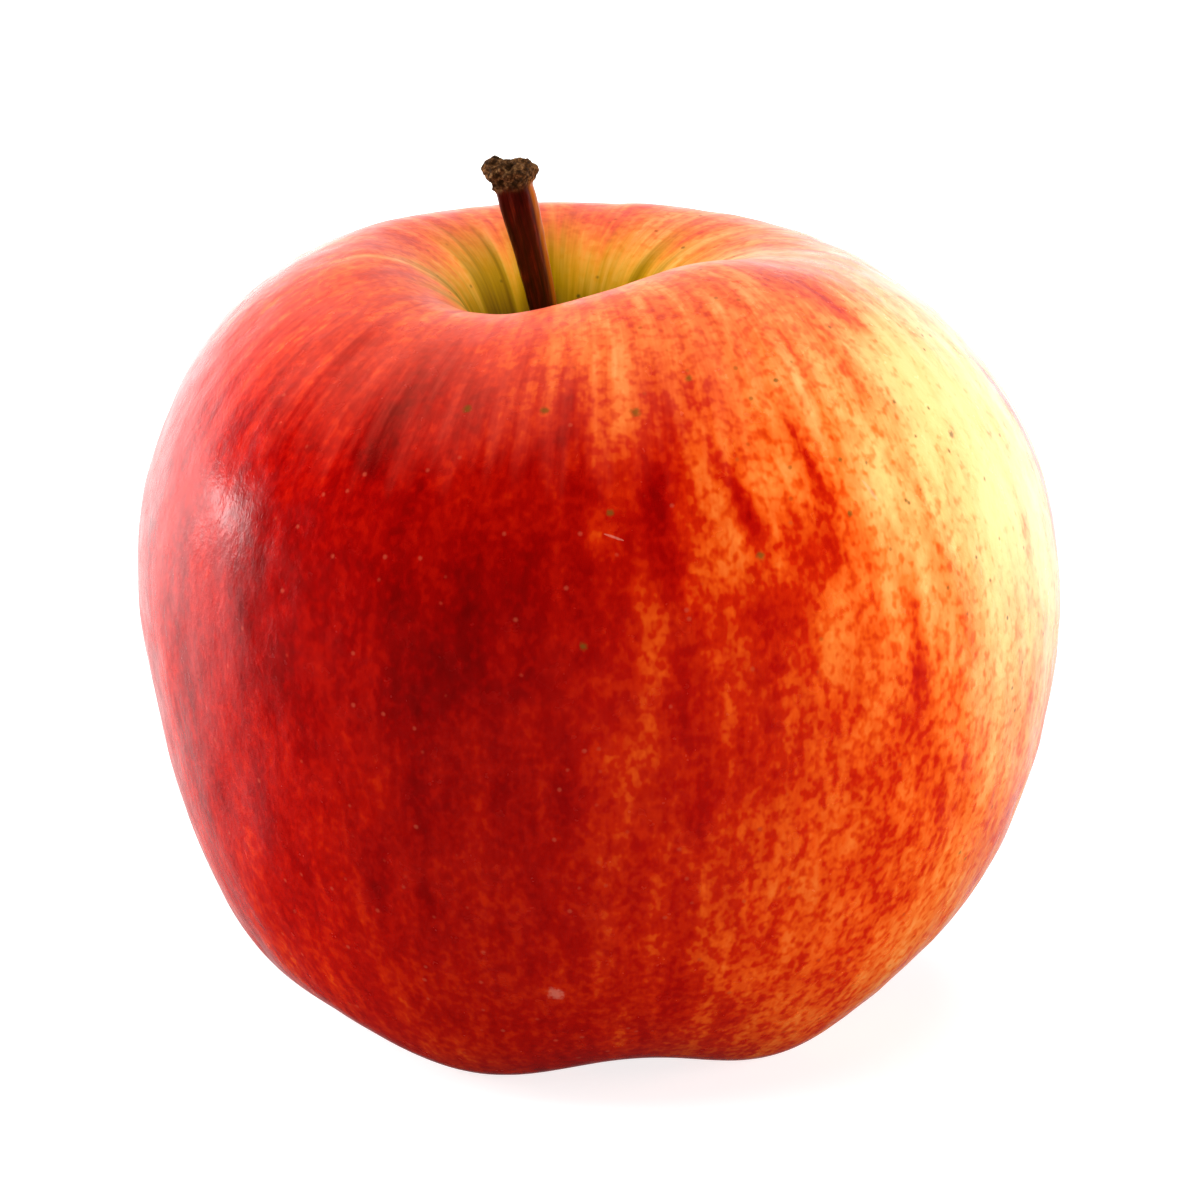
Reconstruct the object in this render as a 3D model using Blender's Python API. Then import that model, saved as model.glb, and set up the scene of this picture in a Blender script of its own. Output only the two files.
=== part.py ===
"""A red eating apple standing on the ground plane, with its stem up.

Three closed pieces: the fruit, its woody stem and the dried calyx in its base. The sizes below are
in millimetres and are turned to metres as each mesh is made. The stem points up (+Z), the front is
-Y, and an angle round the fruit starts at the front and grows towards the right (+X).
"""

import bpy
import numpy as np

MM = 0.001
FIT_GAP = 0.3  # between two pieces that touch

# The fruit's outline: (radius, height) of the skin from the stem cavity, over the shoulder and the
# belly, to the foot and into the calyx basin.
CAVITY_FLOOR = 49.0
BASIN_ROOF = 7.6
FRUIT_OUTLINE = (
    (0.0, CAVITY_FLOOR),
    (3.4, 51.6),
    (5.8, 56.6),
    (7.6, 61.0),
    (9.5, 64.2),
    (12.5, 66.4),
    (18.0, 67.75),
    (25.5, 65.4),
    (34.2, 57.0),
    (39.6, 42.0),
    (38.7, 27.5),
    (34.6, 14.5),
    (29.0, 6.0),
    (20.5, 0.4),
    (13.0, 1.0),
    (7.0, 4.6),
    (3.5, 7.1),
    (0.0, BASIN_ROOF),
)
SKIN_ROWS = 48
SKIN_COLUMNS = 76
DEPTH_TO_WIDTH = 0.97  # the fruit is a little flat from front to back

# Five lobes, one over each seed chamber. They swell the waist, and end below as five feet.
LOBES = 5
LOBE_ANGLE = -27.0
WAIST = (35.0, 22.0)  # height and spread of the swelling
WAIST_SWELL = 0.4
FOOT_TOP = 18.0  # the feet fade out by this height
FOOT_DROP = 0.8
FOOT_SWELL = 0.6

# What makes it uneven. Each side swell fills the right and hollows the left: (height, spread, size).
SIDE_SWELLS = ((28.0, 13.0, 0.7), (66.0, 11.0, -1.2), (3.0, 6.0, -1.1))
# Each crown hump lifts the shoulder and the cavity's wall: (angle, spread, rise).
CROWN_HUMPS = ((38.0, 22.0, 1.0), (-34.0, 38.0, -3.0), (105.0, 30.0, -0.6))
CROWN_HEIGHTS = (48.0, 66.0)
CROWN_RADII = (3.0, 12.0)
CAVITY_SHIFT = -2.6  # the stem cavity sits left of the middle
CAVITY_RADII = (4.0, 26.0)  # the shift is whole inside the first and gone outside the second

# The stem's outline: (radius, distance from its foot), then the points that its middle passes.
STEM_OUTLINE = (
    (0.0, 0.0),
    (0.7, 0.1),
    (1.1, 0.6),
    (1.2, 1.8),
    (1.15, 6.0),
    (1.12, 15.0),
    (1.25, 20.0),
    (1.4, 24.0),
    (1.65, 26.8),
    (2.1, 28.1),
    (2.15, 29.3),
    (1.5, 30.2),
    (0.0, 30.3),
)
STEM_ROWS = 44
STEM_COLUMNS = 20
STEM_SINK = 4.2  # how deep the foot sits in the flesh
STEM_LINE = (
    (CAVITY_SHIFT + 0.4, 0.0, CAVITY_FLOOR - STEM_SINK),
    (-4.6, 0.0, 62.2),
    (-7.7, 0.0, 75.3),
)
RIDGES = ((3, 0.05, 40.0), (5, 0.035, 10.0))  # count round the stem, share of the radius, angle
KNOB_RADIUS = 2.1
# Corky lumps of the knob: angle, distance from the foot, height, spread.
LUMPS = (
    (-95.0, 28.4, 0.75, 1.1),
    (95.0, 29.0, 0.35, 0.9),
    (20.0, 29.1, 0.30, 0.9),
    (160.0, 28.7, 0.40, 1.0),
    (-35.0, 28.9, 0.25, 0.8),
)
SOCKET_RADIUS = 1.2 + 0.1 + FIT_GAP  # the foot, its ridges and the gap
SOCKET_TOP = STEM_SINK + 5.0  # well clear of the skin

# The calyx: a plug in a short tube of the basin, with five dry sepals and the stamens on it.
PLUG_RADIUS = 1.6
PLUG_TOP = BASIN_ROOF + 2.6
PLUG_BOTTOM = BASIN_ROOF - 0.7
PLUG_SIDES = 20
PIT_MOUTH = BASIN_ROOF - 5.0  # well clear of the skin
SEPALS = 5
SEPAL_ANGLE = 12.0
SEPAL_RIB = ((0.6, 8.0), (1.6, 6.5), (2.8, 5.1), (4.0, 4.4), (4.9, 4.6))  # radius, height
SEPAL_WIDTHS = (2.0, 2.9, 2.5, 1.5, 0.7)  # evenly spaced from root to tip
SEPAL_THICKNESS = 0.7
SEPAL_CUP = 0.12  # the edges bend down by this times the square of their distance from the rib
SEPAL_TURN = 5.0  # degrees, the most that one stands off its even place
SEPAL_TWIST = 0.5  # radians, the most that a tip twists
STAMENS = 11
STAMEN_ROOT = (0.75, 0.0, PLUG_BOTTOM + 0.8)
STAMEN_RADIUS = 0.28
STAMEN_TAPER = 0.7
STAMEN_LENGTHS = (1.9, 2.8)


def clear_scene():
    for thing in list(bpy.data.objects):
        bpy.data.objects.remove(thing)


def curve_through(points, count, ends=None):
    """count + 1 points, evenly spaced by length along the cubic spline through the given points.

    ends holds the directions in which the curve leaves its first point and meets its last one.
    Without them the curve runs straight at both ends.
    """
    points = np.asarray(points, float)
    chords = np.linalg.norm(np.diff(points, axis=0), axis=1)
    knots = np.concatenate([[0.0], np.cumsum(chords)])
    slopes = np.diff(points, axis=0) / chords[:, None]
    system = np.eye(len(points))
    target = np.zeros_like(points)
    for i in range(1, len(points) - 1):
        system[i, i - 1 : i + 2] = chords[i - 1], 2 * (chords[i - 1] + chords[i]), chords[i]
        target[i] = 6 * (slopes[i] - slopes[i - 1])
    if ends is not None:
        system[0, :2] = 2 * chords[0], chords[0]
        target[0] = 6 * (slopes[0] - np.asarray(ends[0]))
        system[-1, -2:] = chords[-1], 2 * chords[-1]
        target[-1] = 6 * (np.asarray(ends[1]) - slopes[-1])
    bend = np.linalg.solve(system, target)
    place = np.linspace(0.0, knots[-1], 4001)
    i = np.clip(np.searchsorted(knots, place, side="right") - 1, 0, len(points) - 2)
    gap = chords[i][:, None]
    before = (knots[i + 1] - place)[:, None]
    after = (place - knots[i])[:, None]
    fine = (bend[i] * before**3 + bend[i + 1] * after**3) / (6 * gap)
    fine += (points[i] / gap - bend[i] * gap / 6) * before
    fine += (points[i + 1] / gap - bend[i + 1] * gap / 6) * after
    length = length_along(fine)
    wanted = np.linspace(0.0, length[-1], count + 1)
    return read_along(fine, length, wanted)


def length_along(line):
    """The distance of each point from the first, along the line."""
    return np.concatenate([[0.0], np.cumsum(np.linalg.norm(np.diff(line, axis=0), axis=1))])


def read_along(line, length, wanted):
    """The line's points, or its directions, at the wanted distances."""
    return np.stack([np.interp(wanted, length, column) for column in line.T], axis=1)


def directions(line):
    """The unit direction of the line at each of its points."""
    way = np.gradient(line, axis=0)
    return way / np.linalg.norm(way, axis=1)[:, None]


def round_outline(outline, rows):
    """An outline that leaves and meets its axis squarely, so that a turned body has no point there."""
    curve = curve_through(outline, rows, ends=((1.0, 0.0), (-1.0, 0.0)))
    curve[[0, -1], 0] = 0.0
    return curve


def round_angles(columns):
    return 2 * np.pi * np.arange(columns) / columns


def smooth_step(value, low, high):
    """0 below low, 1 above high and an even S-curve between them."""
    share = np.clip((value - low) / (high - low), 0.0, 1.0)
    return share * share * (3 - 2 * share)


def hump(value, centre, spread):
    """1 at the centre, fading to nothing about two spreads from it."""
    return np.exp(-(((value - centre) / spread) ** 2))


def angle_hump(angle, centre, spread):
    """The same hump round an axis, with its centre and spread in degrees."""
    turn = np.degrees(angle) - centre
    return hump((turn + 180) % 360 - 180, 0.0, spread)


def fruit_points(rows, columns):
    """The skin as rows + 1 rings of points, from the stem's pole to the calyx's.

    A turned outline, swollen by its lobes and then made uneven. The feet are cut flat at the ground.
    """
    outline = round_outline(FRUIT_OUTLINE, rows)
    radius, height = outline[:, :1], outline[:, 1:]
    angle = round_angles(columns)[None, :]
    lobe = np.cos(LOBES * (angle - np.radians(LOBE_ANGLE)))
    off_axis = np.clip(radius / 20, 0, 1)
    foot = np.clip(1 - height / FOOT_TOP, 0, 1) ** 2 * np.clip(radius / 10, 0, 1)
    side = sum(size * hump(height, at, spread) for at, spread, size in SIDE_SWELLS)
    wide = radius + WAIST_SWELL * lobe * hump(height, *WAIST) * off_axis
    wide = wide + FOOT_SWELL * lobe * foot + side * np.sin(angle) * off_axis
    crown = smooth_step(height, *CROWN_HEIGHTS) * smooth_step(radius, *CROWN_RADII)
    rise = sum(size * angle_hump(angle, at, spread) for at, spread, size in CROWN_HUMPS)
    tall = np.maximum(height - FOOT_DROP * lobe * foot + crown * rise, 0.0)
    in_cavity = (height > WAIST[0]) * (1 - smooth_step(radius, *CAVITY_RADII))
    across = wide * np.sin(angle) + CAVITY_SHIFT * in_cavity
    deep = -DEPTH_TO_WIDTH * wide * np.cos(angle)
    return np.stack([across, deep, tall], axis=2)


def middle_of(points):
    """The middle of the points' box across and deep, which becomes the origin."""
    flat = points.reshape(-1, 3)
    return (flat.min(axis=0) + flat.max(axis=0)) / 2 * [1, 1, 0]


def swept_points(outline, columns):
    """Rings of points round the stem's bent middle line, for (radius, distance along) rows.

    The radius carries the low ridges and the corky lumps. Rows past an end of the line run straight on.
    """
    line = curve_through(STEM_LINE, 200)
    length = length_along(line)
    radius, along = np.asarray(outline, float).T
    place = np.clip(along, 0.0, length[-1])
    way = read_along(directions(line), length, place)
    line = read_along(line, length, place) + way * (along - place)[:, None]
    radius, along = radius[:, None], along[:, None]
    angle = round_angles(columns)[None, :]
    wide = radius * np.ones_like(angle)
    for count, share, turn in RIDGES:
        wide = wide + share * radius * np.cos(count * (angle - np.radians(turn)))
    for turn, at, height, spread in LUMPS:
        round_it = angle_hump(angle, turn, np.degrees(spread / KNOB_RADIUS))
        fade = np.clip(radius / KNOB_RADIUS, 0, 1)
        wide = wide + height * round_it * hump(along, at, spread) * fade
    right = np.stack([way[:, 2], 0 * place, -way[:, 0]], axis=1)
    front = np.array([0.0, -1.0, 0.0])
    out = np.sin(angle)[..., None] * right[:, None] + np.cos(angle)[..., None] * front
    return line[:, None] + wide[..., None] * out


def ring_faces(rings, columns):
    """Quads between the rings and a fan at each end.

    Vertex 0 closes the first end, then come the rings, and the last vertex closes the other end.
    """
    last = rings * columns + 1
    end = last - columns
    faces = []
    for j in range(columns):
        k = (j + 1) % columns
        faces.append((0, 1 + k, 1 + j))
        for i in range(rings - 1):
            here = 1 + i * columns
            after = here + columns
            faces.append((here + j, here + k, after + k, after + j))
        faces.append((last, end + j, end + k))
    return faces


def holds(mesh):
    """Six times the mesh's volume: below zero when its faces point inwards."""
    mesh.calc_loop_triangles()
    corners = [[mesh.vertices[i].co for i in triangle.vertices] for triangle in mesh.loop_triangles]
    return sum(a.dot(b.cross(c)) for a, b, c in corners)


def closed_body(name, grid, middle, collection=None):
    """An object whose surface is the grid of rings, closed at the middle of each end ring.

    An end ring of no size is the pole itself, so it is left to the closing point.
    """
    ends = grid[0].mean(axis=0), grid[-1].mean(axis=0)
    rings = [ring for ring in grid if np.ptp(ring, axis=0).max() > 0]
    points = np.concatenate([ends[:1], *rings, ends[1:]]) - middle
    mesh = bpy.data.meshes.new(name)
    mesh.from_pydata((points * MM).tolist(), [], ring_faces(len(rings), grid.shape[1]))
    if holds(mesh) < 0:
        mesh.flip_normals()
    mesh.shade_smooth()
    body = bpy.data.objects.new(name, mesh)
    (collection or bpy.context.scene.collection).objects.link(body)
    return body


def upright_bar(name, radius, low, high, middle):
    """A round bar on the fruit's own axis."""
    angle = round_angles(PLUG_SIDES)
    ring = np.stack([radius * np.sin(angle), -radius * np.cos(angle), 0 * angle], axis=1)
    return closed_body(name, np.stack([ring + [0, 0, low], ring + [0, 0, high]]), middle)


def paint(body, name, colour, roughness):
    """One Principled material; colour is linear red, green and blue."""
    material = bpy.data.materials.new(name)
    material.use_nodes = True
    shader = material.node_tree.nodes["Principled BSDF"]
    shader.inputs["Base Color"].default_value = (*colour, 1.0)
    shader.inputs["Roughness"].default_value = roughness
    shader.inputs["Metallic"].default_value = 0.0
    body.data.materials.append(material)


def cut(body, cutter):
    """Takes the cutter's space out of the body, and keeps the cutter as a hidden guide."""
    cutter.hide_render = True
    cutter.display_type = "WIRE"
    boolean = body.modifiers.new(cutter.name, "BOOLEAN")
    boolean.operation = "DIFFERENCE"
    boolean.solver = "EXACT"
    boolean.object = cutter


def make_fruit(middle):
    """The skin's own surface, with a socket for the stem's foot and a pit for the calyx's plug."""
    fruit = closed_body("fruit", fruit_points(SKIN_ROWS, SKIN_COLUMNS), middle)
    socket = [(SOCKET_RADIUS, along) for along in np.linspace(-FIT_GAP, SOCKET_TOP, 12)]
    cut(fruit, closed_body("stem_socket", swept_points(socket, STEM_COLUMNS), middle))
    pit_radius = PLUG_RADIUS + FIT_GAP
    cut(fruit, upright_bar("calyx_pit", pit_radius, PIT_MOUTH, PLUG_TOP + FIT_GAP, middle))
    paint(fruit, "apple_skin", (0.52, 0.03, 0.02), 0.35)


def make_stem(middle):
    """A bent woody stalk that widens to a corky knob where it broke off the twig."""
    outline = round_outline(STEM_OUTLINE, STEM_ROWS)
    stem = closed_body("stem", swept_points(outline, STEM_COLUMNS), middle)
    paint(stem, "stem_bark", (0.10, 0.035, 0.015), 0.5)


def turned(points, degrees):
    """The points turned about the fruit's axis."""
    cos, sin = np.cos(np.radians(degrees)), np.sin(np.radians(degrees))
    return points @ np.array([[cos, sin, 0.0], [-sin, cos, 0.0], [0.0, 0.0, 1.0]])


def sepal_points(twist):
    """One sepal: an oval section, widest low down and cupped, led along a rib that curls outwards."""
    rib = curve_through([(radius, 0.0, height) for radius, height in SEPAL_RIB], 9)
    place = np.linspace(0, 1, len(rib))
    wide = np.interp(place, np.linspace(0, 1, len(SEPAL_WIDTHS)), SEPAL_WIDTHS)[:, None] / 2
    way = directions(rib)
    up = np.stack([-way[:, 2], 0 * place, way[:, 0]], axis=1)
    angle = round_angles(8)[None, :]
    lean = twist * place[:, None]
    flat = wide * np.cos(angle)
    thick = SEPAL_THICKNESS / 2 * np.sin(angle) - SEPAL_CUP * flat**2
    sideways = (flat * np.cos(lean))[..., None] * np.array([0.0, 1.0, 0.0])
    return rib[:, None] + sideways + (thick + flat * np.sin(lean))[..., None] * up[:, None]


def stamen_points(way, length):
    """One stamen: a three-sided needle that thins a little towards its tip."""
    side = np.cross(way, (0.3, 0.9, 0.1))
    side = side / np.linalg.norm(side)
    other = np.cross(way, side)
    angle = round_angles(3)[:, None]
    ring = STAMEN_RADIUS * (np.cos(angle) * side + np.sin(angle) * other)
    root = np.array(STAMEN_ROOT)
    return np.stack([root + ring, root + length * way + STAMEN_TAPER * ring])


def make_calyx(middle):
    """The plug with its sepals and stamens joined into one body."""
    draw = np.random.default_rng(7)
    calyx = upright_bar("calyx", PLUG_RADIUS, PLUG_BOTTOM, PLUG_TOP, middle)
    pieces = bpy.data.collections.new("calyx_pieces")
    bpy.context.scene.collection.children.link(pieces)
    for i in range(SEPALS):
        turn = SEPAL_ANGLE + 360 / SEPALS * i + draw.uniform(-SEPAL_TURN, SEPAL_TURN)
        sepal = sepal_points(draw.uniform(-SEPAL_TWIST, SEPAL_TWIST))
        closed_body("sepal", turned(sepal, turn), middle, pieces)
    for i in range(STAMENS):
        way = np.array([draw.uniform(0.1, 0.4), draw.uniform(-0.1, 0.1), -1.0])
        stamen = stamen_points(way / np.linalg.norm(way), draw.uniform(*STAMEN_LENGTHS))
        closed_body("stamen", turned(stamen, 360 / STAMENS * i), middle, pieces)
    boolean = calyx.modifiers.new("join", "BOOLEAN")
    boolean.operation = "UNION"
    boolean.solver = "EXACT"
    boolean.operand_type = "COLLECTION"
    boolean.collection = pieces
    graph = bpy.context.evaluated_depsgraph_get()
    joined = bpy.data.meshes.new_from_object(calyx.evaluated_get(graph))
    calyx.modifiers.clear()
    calyx.data = joined
    for piece in list(pieces.objects):
        bpy.data.objects.remove(piece)
    bpy.data.collections.remove(pieces)
    paint(calyx, "dry_calyx", (0.12, 0.07, 0.035), 0.8)


def main():
    clear_scene()
    middle = middle_of(fruit_points(SKIN_ROWS, SKIN_COLUMNS))
    make_fruit(middle)
    make_stem(middle)
    make_calyx(middle)


main()
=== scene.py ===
"""The looks of a red eating apple: its skin, its stem and its calyx, in a small pale studio."""

import bpy
import numpy as np
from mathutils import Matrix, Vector


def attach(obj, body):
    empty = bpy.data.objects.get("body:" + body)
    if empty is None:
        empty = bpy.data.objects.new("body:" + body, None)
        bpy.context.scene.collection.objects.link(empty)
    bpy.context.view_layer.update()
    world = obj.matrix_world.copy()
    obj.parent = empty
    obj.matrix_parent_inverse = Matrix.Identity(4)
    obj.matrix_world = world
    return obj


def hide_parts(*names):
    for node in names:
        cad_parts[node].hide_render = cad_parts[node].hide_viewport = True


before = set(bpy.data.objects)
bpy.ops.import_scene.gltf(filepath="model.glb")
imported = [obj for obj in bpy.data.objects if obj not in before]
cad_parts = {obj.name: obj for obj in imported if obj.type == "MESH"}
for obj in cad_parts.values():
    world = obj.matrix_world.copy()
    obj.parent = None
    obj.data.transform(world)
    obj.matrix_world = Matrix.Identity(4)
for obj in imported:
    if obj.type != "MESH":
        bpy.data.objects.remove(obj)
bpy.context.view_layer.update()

# ------------------------------------------------------------------------------------------------
# The fruit: skin and flesh grown as one body round five seed chambers. It is drawn in at the stem
# and at the flower's end, and stands on the five low swellings round that end. Sizes are in
# millimetres and angles in degrees, from the front (-Y) towards the right (+X).
# ------------------------------------------------------------------------------------------------

MM = 0.001  # a millimetre in metres
FRUIT_OUTLINE = (  # (radius, height) from the stem cavity, over shoulder and belly, into the basin
    (0.0, 49.0),
    (3.4, 51.6),
    (5.8, 56.6),
    (7.6, 61.0),
    (9.5, 64.2),
    (12.5, 66.4),
    (18.0, 67.75),
    (25.5, 65.4),
    (34.2, 57.0),
    (39.6, 42.0),
    (38.7, 27.5),
    (34.6, 14.5),
    (29.0, 6.0),
    (20.5, 0.4),
    (13.0, 1.0),
    (7.0, 4.6),
    (3.5, 7.1),
    (0.0, 7.6),
)
SKIN_ROWS, SKIN_COLUMNS = 222, 444  # steps along the skin and round it
DEPTH_TO_WIDTH = 0.97
LOBES, LOBE_ANGLE = 5, -27.0
WAIST, WAIST_SWELL = (35.0, 22.0), 0.4  # the lobes' height and spread on the sides, and their size
FOOT_TOP, FOOT_DROP, FOOT_SWELL = 18.0, 0.8, 0.6  # the lobes' height at the foot, and their sizes
WAIST_WITHIN, FOOT_WITHIN = 20.0, 10.0  # the lobes fade out from these radii to the core
SIDE_SWELLS = (  # height, spread, and how far the fruit stands to the right there
    (28.0, 13.0, 0.7),
    (66.0, 11.0, -1.2),
    (3.0, 6.0, -1.1),
)
CROWN_HUMPS = ((38.0, 22.0, 1.0), (-34.0, 38.0, -3.0), (105.0, 30.0, -0.6))  # angle, spread, rise
CROWN_HEIGHTS, CROWN_RADII = (48.0, 66.0), (3.0, 12.0)  # the humps grow between these
CAVITY_SHIFT, CAVITY_RADII = -2.6, (4.0, 26.0)  # the cavity lies to the left, less so further out
SKIN_START = 1.2  # places along the skin are counted from this far outside the cavity's middle
BELLY_RADIUS = 38.0  # streaks are as wide here as their pattern says, and narrower near the ends
WAVE_SPREAD = (0.7, 1.5)  # how far the waves of an unevenness differ in number
FINE_STEPS = 4000  # a spline is worked out in so many steps, and then spaced evenly


def curve_through(points, count, ends=None):
    """count + 1 points, evenly spaced by length along the natural cubic spline through the points.

    On each stretch the curve is the weighted mean of its two ends, plus a cube of each weight times
    the bend at that end. ends gives the directions at the first and the last point, and then the
    spline keeps those instead of running straight there.
    """
    points = np.asarray(points, float)
    chords = np.linalg.norm(np.diff(points, axis=0), axis=1)
    knots = np.concatenate([[0.0], np.cumsum(chords)])
    slopes = np.diff(points, axis=0) / chords[:, None]
    system = np.eye(len(points))
    target = np.zeros_like(points)
    inner = np.arange(1, len(points) - 1)
    system[inner, inner - 1] = chords[:-1]
    system[inner, inner] = 2 * (chords[:-1] + chords[1:])
    system[inner, inner + 1] = chords[1:]
    target[inner] = 6 * np.diff(slopes, axis=0)
    if ends is not None:
        system[0, :2] = 2 * chords[0], chords[0]
        target[0] = 6 * (slopes[0] - np.asarray(ends[0]))
        system[-1, -2:] = chords[-1], 2 * chords[-1]
        target[-1] = 6 * (np.asarray(ends[1]) - slopes[-1])
    bend = np.linalg.solve(system, target)
    place = np.linspace(0.0, knots[-1], FINE_STEPS + 1)
    i = np.clip(np.searchsorted(knots, place, side="right") - 1, 0, len(points) - 2)
    gap = chords[i][:, None]
    before = (knots[i + 1] - place)[:, None]
    after = (place - knots[i])[:, None]
    fine = (bend[i] * before**3 + bend[i + 1] * after**3) / (6 * gap)
    fine += (points[i] / gap - bend[i] * gap / 6) * before
    fine += (points[i + 1] / gap - bend[i + 1] * gap / 6) * after
    length = length_along(fine)
    return read_along(fine, length, np.linspace(0.0, length[-1], count + 1))


def round_angles(columns):
    """Evenly spaced angles round an axis, in one row."""
    return 2 * np.pi * np.arange(columns)[None, :] / columns


def length_along(line):
    """The distance of each point from the first, along the line."""
    return np.concatenate([[0.0], np.cumsum(np.linalg.norm(np.diff(line, axis=0), axis=1))])


def read_along(line, length, wanted):
    """The line's points, or its directions, at the wanted distances."""
    return np.stack([np.interp(wanted, length, column) for column in line.T], axis=1)


def round_outline(outline, rows):
    """An outline that leaves and meets its axis squarely, so that a turned body is round there."""
    curve = curve_through(outline, rows, ends=((1.0, 0.0), (-1.0, 0.0)))
    curve[[0, -1], 0] = 0.0
    return curve


def smooth_step(value, low, high):
    """0 below low, 1 above high and an even S-curve between them."""
    share = np.clip((value - low) / (high - low), 0.0, 1.0)
    return share * share * (3 - 2 * share)


def hump(value, centre, spread):
    """e to the minus square of the distance from the centre in spreads."""
    return np.exp(-(((value - centre) / spread) ** 2))


def angle_hump(angle, centre, spread):
    """The same hump round an axis, with its centre and spread in degrees."""
    turn = np.degrees(angle) - centre
    return hump((turn + 180) % 360 - 180, 0.0, spread)


def gentle_waves(places, length, count, seed):
    """Soft unevenness: count sine waves about length long, in random directions.

    Their mean is multiplied by the root of count, so that its size doesn't depend on count.
    """
    draw = np.random.default_rng(seed)
    ways = draw.normal(size=(count, 3))
    ways *= 2 * np.pi / length / np.linalg.norm(ways, axis=1)[:, None]
    ways *= draw.uniform(*WAVE_SPREAD, size=(count, 1))
    starts = draw.uniform(0, 2 * np.pi, size=count)
    return np.sin(places @ ways.T + starts).mean(axis=-1) * np.sqrt(count)


def fruit_surface(rows, columns):
    """The skin's points, with the angle and the distance along the skin of each.

    An outline turned about the core. Five cosine lobes swell its radius and drop its foot, and
    humps in angle and height make the sides and the crown uneven. It is cut flat at the ground.
    """
    outline = round_outline(FRUIT_OUTLINE, rows)
    along = length_along(outline)[:, None]
    radius, height = outline[:, :1], outline[:, 1:]
    angle = round_angles(columns)
    lobe = np.cos(LOBES * (angle - np.radians(LOBE_ANGLE)))
    off_axis = np.clip(radius / WAIST_WITHIN, 0, 1)
    foot = np.clip(1 - height / FOOT_TOP, 0, 1) ** 2 * np.clip(radius / FOOT_WITHIN, 0, 1)
    side = sum(size * hump(height, at, spread) for at, spread, size in SIDE_SWELLS)
    wide = radius + WAIST_SWELL * lobe * hump(height, *WAIST) * off_axis
    wide = wide + FOOT_SWELL * lobe * foot + side * np.sin(angle) * off_axis
    crown = smooth_step(height, *CROWN_HEIGHTS) * smooth_step(radius, *CROWN_RADII)
    rise = sum(size * angle_hump(angle, at, spread) for at, spread, size in CROWN_HUMPS)
    tall = np.maximum(height - FOOT_DROP * lobe * foot + crown * rise, 0.0)
    in_cavity = (height > WAIST[0]) * (1 - smooth_step(radius, *CAVITY_RADII))
    across = wide * np.sin(angle) + CAVITY_SHIFT * in_cavity
    deep = -DEPTH_TO_WIDTH * wide * np.cos(angle)
    points = np.stack([across, deep, tall], axis=2)
    return points, angle + 0 * along, along + 0 * angle


def ring_faces(rings, columns):
    """Quads between neighbouring rings, and a fan of triangles from a point at each end.

    Point 0 closes the first end, then come the rings, and the last point closes the other end.
    """
    j = np.arange(columns)
    k = (j + 1) % columns
    start = 1 + columns * np.arange(rings - 1)[:, None]
    quads = np.stack([start + j, start + columns + j, start + columns + k, start + k], axis=2)
    last = rings * columns + 1
    end = last - columns
    first_fan = np.stack([0 * j, 1 + j, 1 + k], axis=1)
    last_fan = np.stack([0 * j + last, end + k, end + j], axis=1)
    return quads.reshape(-1, 4), first_fan, last_fan


def flat_rings(grid):
    """The points of a grid of rings as one list, with each end ring as its single point."""
    return np.concatenate([grid[0, :1], grid[1:-1].reshape(-1, grid.shape[2]), grid[-1, :1]])


def face_out(corners):
    """Whether quads, given by their corners, are wound to face away from the origin."""
    normals = np.cross(corners[:, 2] - corners[:, 0], corners[:, 3] - corners[:, 1])
    return (corners.mean(axis=1) * normals).sum() > 0


def placed(name, data):
    """An object of the scene, from its mesh, lamp or camera."""
    made = bpy.data.objects.new(name, data)
    bpy.context.scene.collection.objects.link(made)
    return made


def turned_piece(name, points, marks):
    """A closed, smooth piece from rings of points in millimetres; the end rings are single points.

    marks are values of the same grid, kept on the mesh for its material under their names.
    """
    rows, columns = points.shape[:2]
    quads, first_fan, last_fan = ring_faces(rows - 2, columns)
    flat = flat_rings(points)
    mesh = bpy.data.meshes.new(name)
    faces = quads.tolist() + first_fan.tolist() + last_fan.tolist()
    mesh.from_pydata((flat * MM).tolist(), [], faces)
    if not face_out(flat[quads]):
        mesh.flip_normals()
    for mark, values in marks.items():
        values = values.reshape(rows, columns, -1)
        kind, field = ("FLOAT_VECTOR", "vector") if values.shape[2] == 3 else ("FLOAT", "value")
        layer = mesh.attributes.new(mark, kind, "POINT")
        layer.data.foreach_set(field, flat_rings(values).astype(np.float32).ravel())
    mesh.shade_smooth()
    return placed(name, mesh)


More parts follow.
